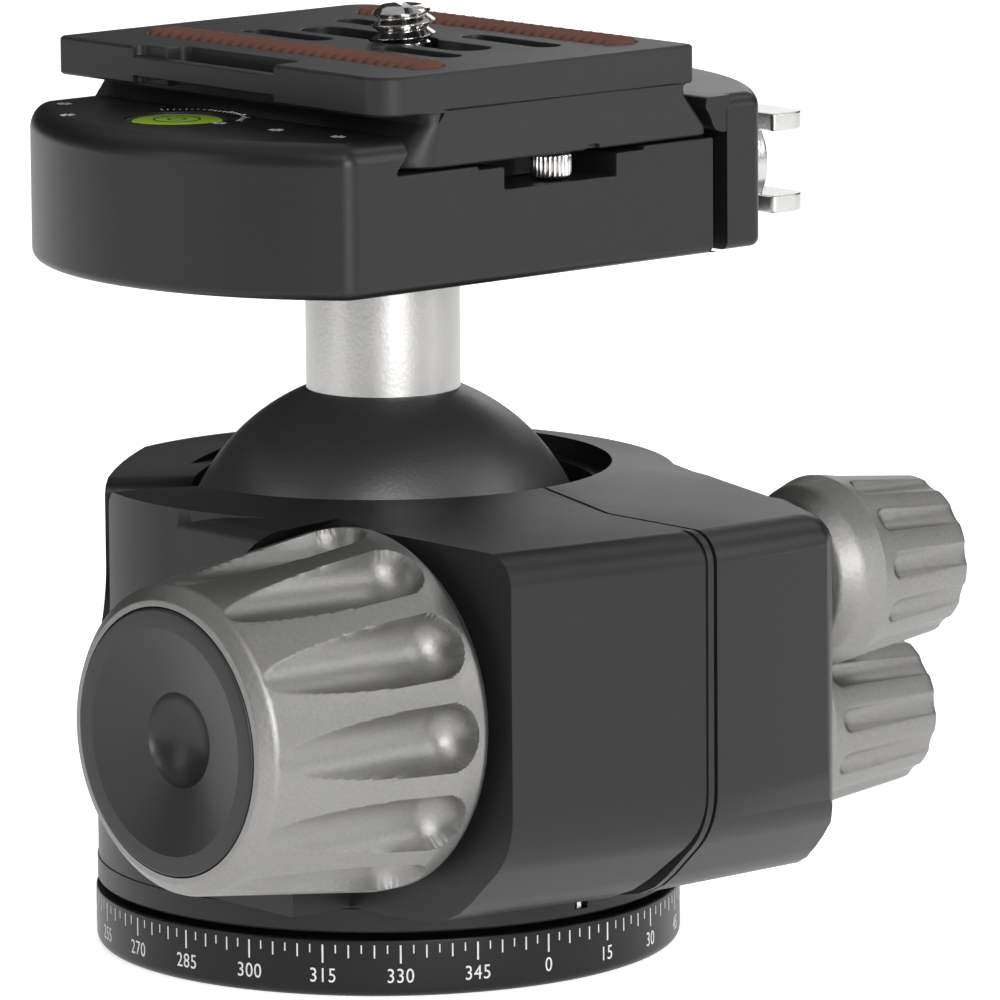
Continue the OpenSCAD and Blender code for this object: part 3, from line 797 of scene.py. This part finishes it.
def round_rect_outline(cx, x_cut, inset, fr=2.3, right=False):
    """Plan of the clamp: circle cut by two flats, corners rounded; x_cut closes it with a straight side."""
    R, H = CLR - inset, CLH - inset
    f = max(0.15, fr - inset)
    cyc, rr = H - f, R - f
    cxx = sqrt(rr * rr - cyc * cyc)
    a0 = math.atan2(cyc, cxx)
    pts = []
    n = 44
    if not right:
        for k in range(n + 1):
            t = (pi - a0) + 2 * a0 * k / n
            pts.append((cx + R * cos(t), R * sin(t)))
        for k in range(1, 9):
            t = pi + a0 + (pi / 2 - a0) * k / 8
            pts.append((cx - cxx + f * cos(t), -cyc + f * sin(t)))
        pts.append((x_cut, -H))
        pts.append((x_cut, H))
        for k in range(0, 8):
            t = pi / 2 + (pi / 2 - a0) * k / 8
            pts.append((cx - cxx + f * cos(t), cyc + f * sin(t)))
    else:
        for k in range(n + 1):
            t = -a0 + 2 * a0 * k / n
            pts.append((cx + R * cos(t), R * sin(t)))
        for k in range(1, 9):
            t = a0 + (pi / 2 - a0) * k / 8
            pts.append((cx + cxx + f * cos(t), cyc + f * sin(t)))
        pts.append((x_cut, H))
        pts.append((x_cut, -H))
        for k in range(0, 8):
            t = -pi / 2 + (pi / 2 - a0) * k / 8
            pts.append((cx + cxx + f * cos(t), -cyc + f * sin(t)))
    return pts


def lofted_plan(name, cx, x_cut, z0, z1, r_bot, r_top, right, mats, fr=2.3):
    rows = []
    for k in range(7):
        t = pi / 2 * k / 6
        rows.append((r_bot * (1 - sin(t)), z0 + r_bot * (1 - cos(t))))
    for k in range(9):
        t = pi / 2 * k / 8
        rows.append((r_top * (1 - cos(t)), z1 - r_top + r_top * sin(t)))
    rings = [[(x, y, z) for x, y in round_rect_outline(cx, x_cut, ins, fr, right)] for ins, z in rows]
    v, f = loft(rings)
    return raw_object(name, v, f, mats)


body = lofted_plan("clamp_body_v", 0.0, 21.55, CZ0, CZ1, 0.9, 2.2, False, [M_CLAMP])
cutters = [prism("c", [(-16.7, 90), (-16.7, 80.3), (-18.2, 78.7), (-18.2, FLZ), (40, FLZ), (40, 90)], -60, 60, "Y")]
for y0, y1 in ((-26, -17), (17, 26)):
    cutters.append(prism("c", [(-5, 75.8), (9.1, 75.8), (9.1, 79.5), (-5, 79.5)], y0, y1, "Y"))
    y2, y3 = (-26, -16.2) if y0 < 0 else (16.2, 26)
    cutters.append(prism("c", [(-8.2, 77.95), (12.6, 77.95), (12.6, 79.5), (-8.2, 79.5)], y2, y3, "Y"))
cutters.append(prism("c", circle_pts(0, 0, 5.1, 48), 73, 83))
cutters.append(prism("c", circle_pts(0, 0, 3.05, 48), 60, 75))
cutters.append(prism("c", circle_pts(-22.6, 3.2, 4.9, 64), 79.6, 90))
for yy, zz, rr, xx in ((0, 72.0, 2.55, 6.2), (-15, 73, 1.55, 8), (15, 73, 1.55, 8)):
    cutters.append(prism("c", circle_pts(yy, zz, rr, 40), xx, 30, "X"))
cut(body, cutters)
finish_piece(body, "clamp", ["clamp_body"], bevel=0.22)

jaw = lofted_plan("clamp_jaw_v", 3.5, 23.3, 67.2, 82.2, 0.9, 1.5, True, [M_CLAMP], fr=1.2)
lip = [(23.6, 78.75), (22.9, 78.7), (22.35, 78.78), (21.9, 79.0), (21.55, 79.4), (21.3, 80.0), (21.0, 80.6), (20.6, 81.1), (20.6, 81.75), (20.75, 82.08), (21.1, 82.2), (23.6, 82.2)]
lipo = prism("c", lip, -23.65, 23.65, "Y")
cut(jaw, [lipo], "UNION")
jc = [prism("c", circle_pts(0, 72.0, 2.55, 48), 20, 45, "X")]
for yy in (-15, 15):
    jc.append(prism("c", circle_pts(yy, 73, 1.5, 40), 20, 33, "X"))
cut(jaw, jc)
finish_piece(jaw, "jaw", ["clamp_jaw"], bevel=0)

# clamp knob: turned hub with a domed end and two wings
hub = round_prof([(37.25, 2.5), (37.25, 6.2), (45.1, 6.2), (45.1, 4.1), (46.95, 4.1), (46.95, 2.5), (37.25, 2.5)], [0, 0.35, 0.4, 0.15, 1.1, 0.1, 0], n=6)
v, f = lathe(hub, "X", (0, 0, 72.0), 96)
knob = raw_object("clamp_knob_v", v, f, [M_WING])
weld(knob.data)
wings = []
for z0 in (72.0 - 4.95, 72.0 + 3.2):
    pts = round_poly([(44.4, -7.6), (49.2, -7.6), (49.2, 7.6), (44.4, 7.6)], [0.5, 2.0, 2.0, 0.5], 10)
    wings.append(prism("c", pts, z0, z0 + 1.75))
cut(knob, wings, "UNION")
finish_piece(knob, "clamp_lock", ["clamp_knob"], bevel=0.18)

cad_copy("level_bezel", "level_bezel_v", M_NYLON, "clamp", bevel=0.1, seg=2, angle=30.0)

# marks beside the level, inlaid flush in the clamp's top
mk_v, mk_f = [], []


def inlay(cx, cy, ax, half_l, half_w, z=CZ1):
    c, sn = cos(ax), sin(ax)
    o = len(mk_v)
    for zz in (z - 0.06, z + 0.012):
        for a, b in ((-half_l, -half_w), (half_l, -half_w), (half_l, half_w), (-half_l, half_w)):
            mk_v.append((cx + a * c - b * sn, cy + a * sn + b * c, zz))
    mk_f.extend([(o, o + 3, o + 2, o + 1), (o + 4, o + 5, o + 6, o + 7), (o, o + 1, o + 5, o + 4), (o + 1, o + 2, o + 6, o + 5),
                 (o + 2, o + 3, o + 7, o + 6), (o + 3, o, o + 4, o + 7)])


for k in range(25):
    a = rad(-64 + k * 5.33)
    rr = 6.1
    ln = 0.75 if k % 4 == 0 else 0.45
    inlay(-22.6 + (rr + ln / 2) * cos(a), 3.2 + (rr + ln / 2) * sin(a), a, ln / 2, 0.06)
for cx, cy in ((-28.6, 12.2), (-22.2, -2.6), (-21.6, -10.2), (-20.6, -18.0), (-23.6, 19.0)):
    inlay(cx, cy, 0.3, 0.75, 0.10)
    inlay(cx + 0.1, cy - 0.5, 0.3, 0.45, 0.10)
    inlay(cx - 0.1, cy + 0.5, 0.3, 0.45, 0.10)
add_object("clamp_marks", mk_v, mk_f, M_PAINT, "clamp")

# ------------------------------------------------------------------ plate
PX, PY0, PY1 = 19.53, -23.4, 25.1
PCX, CAMY = 2.1, -0.95


def rect_rings(x0, x1, y0, y1, radii, rows):
    rings = []
    for ins, z in rows:
        pts = [(x0 + ins, y0 + ins), (x1 - ins, y0 + ins), (x1 - ins, y1 - ins), (x0 + ins, y1 - ins)]
        rings.append([(a, b, z) for a, b in round_poly(pts, [max(0.05, r - ins) for r in radii], 10)])
    return rings


rows = [(0.25, 83.7), (0.07, 83.77), (0.0, 83.95), (0.0, 87.1), (0.09, 87.31), (0.3, 87.4)]
deck = raw_object("plate_v", *loft(rect_rings(-PX, PX, PY0, PY1, [3.0, 0.8, 3.0, 0.8], rows)), [M_PLATE])
fx0, fx1 = PCX - 19.0, PCX + 19.0
foot_rows = [(0.25, 78.5), (0.06, 78.58), (0.0, 78.75), (0.0, 79.4)]
rings = []
for ins, z in foot_rows:
    rings.append([(a, b, z) for a, b in round_poly([(fx0 + ins, PY0 + ins), (fx1 - ins, PY0 + ins), (fx1 - ins, PY1 - ins), (fx0 + ins, PY1 - ins)],
                                                   [4.0, 1.0, 4.0, 1.0], 10)])
for dx, z in ((2.9, 82.6), (2.9, 83.85)):
    rings.append([(a, b, z) for a, b in round_poly([(fx0 + dx, PY0), (fx1 - dx, PY0), (fx1 - dx, PY1), (fx0 + dx, PY1)],
                                                   [1.6, 0.5, 1.6, 0.5], 10)])
foot = raw_object("c", *loft(rings), [M_PLATE])
cut(deck, [foot], "UNION")
X0 = -PX
cutters = [
    prism("c", circle_pts(PCX, CAMY, 2.75, 56), 70, 90), prism("c", circle_pts(PCX, CAMY, 3.3, 64), 84.5, 90),
    prism("c", circle_pts(PCX, CAMY, 8.0, 72), 70, 83.0),
    prism("c", round_poly([(X0 - 1, -7.35), (X0 + 3.6, -7.35), (X0 + 3.6, 9.85), (X0 - 1, 9.85)], [0, 1.0, 1.0, 0]), 86.4, 89),
    prism("c", round_poly([(X0 - 1, -7.35), (X0 + 3.6, -7.35), (X0 + 3.6, 9.85), (X0 - 1, 9.85)], [0, 1.0, 1.0, 0]), 82.9, 84.5),
    prism("c", round_poly([(X0 + 1.4, -7.35), (X0 + 3.6, -7.35), (X0 + 3.6, 9.85), (X0 + 1.4, 9.85)], [0.3, 1.0, 1.0, 0.3]), 82.9, 89),
    prism("c", round_poly([(X0 - 1, 9.8), (X0 + 1.2, 9.8), (X0 + 1.2, 13.6), (X0 - 1, 13.6)], [0, 0, 0.8, 0]), 86.4, 89),
    prism("c", round_poly([(X0 - 1, 9.8), (X0 + 1.2, 9.8), (X0 + 1.2, 13.6), (X0 - 1, 13.6)], [0, 0, 0.8, 0]), 82.9, 84.5),
]
STRIPS = ((-10.25, -20.05, 21.2), (15.15, -18.8, 19.9))
for x, y0, y1 in STRIPS:
    cutters.append(prism("c", slot_pts(x, y0 + 2.4, y1 - 2.4, 4.82), 86.7, 89))
for x, y0, y1, w in ((8.7, 4.6, 14.5, 2.9), (8.7, -14.0, -4.1, 2.9), (-3.3, -13.4, -4.6, 2.9), (-3.3, 5.4, 14.4, 2.9), (PCX, -10.2, 10.7, 4.6)):
    cutters.append(prism("c", slot_pts(x, y0, y1, w), 84.5, 89))
for yy in (-21.2, 22.2):
    cutters.append(prism("c", circle_pts(2.9, yy, 1.2, 32), 76, 81))
cutters.append(prism("c", round_poly([(5.6, 78.0), (7.2, 78.0), (7.2, 79.0), (5.6, 79.0)], [0, 0, 0.3, 0.3]), PY0 - 1, PY0 + 0.8, "Y"))
cut(deck, cutters)
finish_piece(deck, "quick_plate", ["plate"], bevel=0.16, seg=2)

# ribbed rubber strips
sv, sf = [], []
TOPZ = 87.4
for xc, Y0, Y1 in STRIPS:
    n = 27
    pitch = (Y1 - Y0) / n
    nx, ny = 16, n * 12
    skew = 0.55
    hw = 2.38
    base = len(sv)
    for j in range(ny + 1):
        yy = Y0 + 0.03 + (Y1 - Y0 - 0.06) * j / ny
        d_end = min(yy - Y0, Y1 - yy)
        w = hw if d_end >= hw else sqrt(max(0.02, hw * hw - (hw - d_end) ** 2))
        for i in range(nx + 1):
            t = -1 + 2 * i / nx
            xx = xc + w * t
            ph = ((yy - Y0) / pitch + skew * (xx - xc) / hw) % 1.0
            rib = max(0.0, 1.0 - abs(ph - 0.55) / 0.5) ** 0.8 if ph < 0.55 else max(0.0, 1.0 - (ph - 0.55) / 0.45) ** 1.3
            side = min(1.0, (1 - abs(t)) * 4.0) ** 0.6
            end = min(1.0, d_end / 0.5)
            sv.append((xx, yy, TOPZ - 0.05 + (0.10 + 0.44 * rib) * side * end))
    for j in range(ny):
        for i in range(nx):
            a = base + j * (nx + 1) + i
            sf.append((a, a + 1, a + nx + 2, a + nx + 1))
    rim = [base + i for i in range(nx + 1)] + [base + j * (nx + 1) + nx for j in range(1, ny + 1)]
    rim += [base + ny * (nx + 1) + i for i in range(nx - 1, -1, -1)] + [base + j * (nx + 1) for j in range(ny - 1, 0, -1)]
    low = len(sv)
    for r in rim:
        sv.append((sv[r][0], sv[r][1], TOPZ - 0.68))
    m = len(rim)
    for k in range(m):
        sf.append((rim[k], low + k, low + (k + 1) % m, rim[(k + 1) % m]))
    sf.append(tuple(low + k for k in range(m)))
add_object("grip_strips_v", sv, sf, M_RUBBER, "quick_plate", ["grip_strips"], smooth=50)


# ------------------------------------------------------------------ camera screw with a real thread
def screw_r(z, t, zt, major=3.1, minor=2.3, pitch=1.27):
    ph = (((z - 0.61) / pitch) - t / (2 * pi)) % 1.0
    tri = abs(ph - 0.5) * 2  # 1 at crest
    tri = min(1.0, max(0.0, (tri - 0.12) / 0.82))
    r = minor + (major - minor) * tri
    lead = (zt - z) / 1.1
    if lead < 1.0:
        r = min(r, minor + (major - minor) * max(0.0, lead) ** 0.8)
    return r


zs = list(np.linspace(87.2, 90.55, 90))
verts, faces = [], []
NT = 144
for z in zs:
    for k in range(NT):
        t = 2 * pi * k / NT
        r = screw_r(z, t, 90.75)
        verts.append((2.1 + r * cos(t), -0.95 + r * sin(t), z))
for rr, zz in ((2.2, 90.68), (2.0, 90.78), (1.6, 90.84)):
    for k in range(NT):
        t = 2 * pi * k / NT
        verts.append((2.1 + rr * cos(t), -0.95 + rr * sin(t), zz))
rows = len(zs) + 3
for i in range(rows - 1):
    for k in range(NT):
        n = (k + 1) % NT
        faces.append((i * NT + k, i * NT + n, (i + 1) * NT + n, (i + 1) * NT + k))
faces.append(tuple(range(NT)))
faces.append(tuple((rows - 1) * NT + k for k in range(NT)))
thread = raw_object("camera_screw_thread", verts, faces, [M_CHROME])
a = rad(62)
slot_c = [(2.1 + u * cos(a) - w * sin(a), -0.95 + u * sin(a) + w * cos(a)) for u, w in ((-4, -0.42), (4, -0.42), (4, 0.42), (-4, 0.42))]
cut(thread, [prism("c", slot_c, 90.2, 92)])
finish_piece(thread, "camera_stud", [], bevel=0)
prof = round_prof([(78.9, 0), (78.9, 7.6), (82.8, 7.6), (82.8, 2.3), (87.35, 2.3), (87.35, 0)], [0, 0.5, 0.35, 0.2, 0, 0])
v, f = lathe(prof, "Z", (2.1, -0.95, 0), 128)
head = raw_object("camera_screw_v", v, f, [M_STEEL])
cut(head, [prism("c", [(-7, -1.75), (11, -1.75), (11, -0.15), (-7, -0.15)], 78.0, 80.4)])
finish_piece(head, "camera_stud", ["camera_screw"], bevel=0.1, seg=2, angle=40.0)

# ------------------------------------------------------------------ knurled stop screws
for idx, yy in enumerate((-21.2, 22.2)):
    verts, faces = [], []
    prof = [(76.0, 0.0), (76.0, 1.6), (76.1, 1.82), (76.3, 1.97), (78.05, 1.97), (78.25, 1.9), (78.4, 1.72), (78.48, 1.5), (78.5, 1.15), (80.6, 1.15), (80.6, 0.0)]
    NT = 24 * 8
    for z, r in prof[1:-1]:
        for k in range(NT):
            t = 2 * pi * k / NT
            rr = r
            if r > 1.6:
                ph = (t * 24 / (2 * pi)) % 1.0
                rr = r - 0.16 * (1 - min(1.0, abs(ph - 0.5) * 3.2))
            verts.append((2.9 + rr * cos(t), yy + rr * sin(t), z))
    m = len(prof) - 2
    for i in range(m - 1):
        for k in range(NT):
            n = (k + 1) % NT
            faces.append((i * NT + k, i * NT + n, (i + 1) * NT + n, (i + 1) * NT + k))
    faces.append(tuple(range(NT)))
    faces.append(tuple((m - 1) * NT + k for k in range(NT)))
    ob = add_object("stop_screw_%d" % (idx + 1), verts, faces, M_CHROME, "quick_plate", ["stop_screws"], smooth=35)

# ------------------------------------------------------------------ bubble level
LX, LY = -22.6, 3.2
prof = [(80.0, 0.0), (80.0, 4.36)]
for k in range(9):
    t = pi / 2 * k / 8
    prof.append((81.3 + 0.2 * sin(t), 4.36 - 0.25 * (1 - cos(t))))
prof += [(81.54, 3.0), (81.58, 1.5), (81.59, 0.0)]
v, f = lathe(prof, "Z", (LX, LY, 0), 96)
add_object("level_vial_v", v, f, M_VIAL, "clamp", ["level_vial"], smooth=40)
for nm, r_in, r_out in (("level_ring_big", 2.1, 2.28), ("level_ring_small", 0.75, 0.95)):
    v, f = closed_lathe([(81.4, r_in), (81.4, r_out), (81.6, r_out), (81.6, r_in)], "Z", (LX, LY, 0), 96)
    ob = add_object(nm, v, f, M_NYLON, "clamp", smooth=40)
    weld(ob.data)

# ------------------------------------------------------------------ remaining CAD nodes keep their shape
for node, mat in {
    "tripod_bush": M_STEEL, "pan_washer": M_NYLON, "pan_retainer": M_STEEL, "retainer_screws": M_DARK,
    "index_mark": M_STEEL, "ball_liner": M_NYLON, "thrust_washer": M_STEEL, "main_insert": M_BRASS,
    "tension_insert": M_BRASS, "pan_brake_pin": M_BRASS, "main_screw": M_STEEL, "tension_screw": M_STEEL,
    "pan_lock_screw": M_STEEL, "ball_cup": M_PTFE, "stem_bolt": M_DARK, "guide_pins": M_STEEL,
    "clamp_screw": M_STEEL, "screw_clip": M_DARK,
}.items():
    ob = NODES[node]
    ob.data.materials.clear()
    ob.data.materials.append(mat)

# ------------------------------------------------------------------ floor, lights, world
bpy.ops.mesh.primitive_plane_add(size=6.0, location=(0, 0, -0.00002))
floor = bpy.context.object
floor.name = "floor"
fm, fnt, fb = nodes_of("floor_white")
fmp = coords(fnt)
fn_ = noise(fnt, fmp, 3.0, 2.0)
fr = ramp(fnt, fn_, "Fac", [(0.0, (0.90, 0.90, 0.90, 1)), (1.0, (0.93, 0.93, 0.93, 1))])
link(fnt, fr, "Color", fb, "Base Color")
fb.inputs["Roughness"].default_value = 0.7
fb.inputs["Emission Color"].default_value = (1, 1, 1, 1)
fb.inputs["Emission Strength"].default_value = 0.73
floor.data.materials.append(fm)


def area(name, loc, target, size, size_y, power, color=(1, 1, 1)):
    ld = bpy.data.lights.new(name, "AREA")
    ld.shape = "RECTANGLE"
    ld.size = size
    ld.size_y = size_y
    ld.energy = power
    ld.color = color
    ob = bpy.data.objects.new(name, ld)
    bpy.context.scene.collection.objects.link(ob)
    ob.location = loc
    d = Vector(target) - Vector(loc)
    ob.rotation_euler = d.to_track_quat("-Z", "Y").to_euler()
    return ob


area("overhead", (0.5, 0.55, 2.4), (0.5, 0.55, 0.0), 5.0, 5.0, 38.0)
area("key_left", (-0.80, 0.28, 0.34), (0, 0, 0.05), 0.30, 0.55, 1.2)
area("front_left", (-0.55, -0.62, 0.95), (0, 0, 0.05), 0.32, 0.32, 1.8)
area("right_strip", (0.62, -0.80, 0.42), (0, 0, 0.05), 0.14, 0.5, 2.5)
area("back_rim", (0.70, 0.55, 0.35), (0, 0, 0.06), 0.3, 0.35, 0.6)
area("camera_fill", (-0.35, -0.95, 0.35), (0, 0, 0.05), 0.5, 0.5, 7.6)
area("top_right", (0.65, -0.17, 0.74), (0, 0, 0.05), 0.35, 0.35, 0.8)

world = bpy.data.worlds.new("world")
bpy.context.scene.world = world
world.use_nodes = True
bg = world.node_tree.nodes["Background"]
bg.inputs["Color"].default_value = (1, 1, 1, 1)
bg.inputs["Strength"].default_value = 0.03
bpy.context.scene.view_settings.view_transform = "Standard"
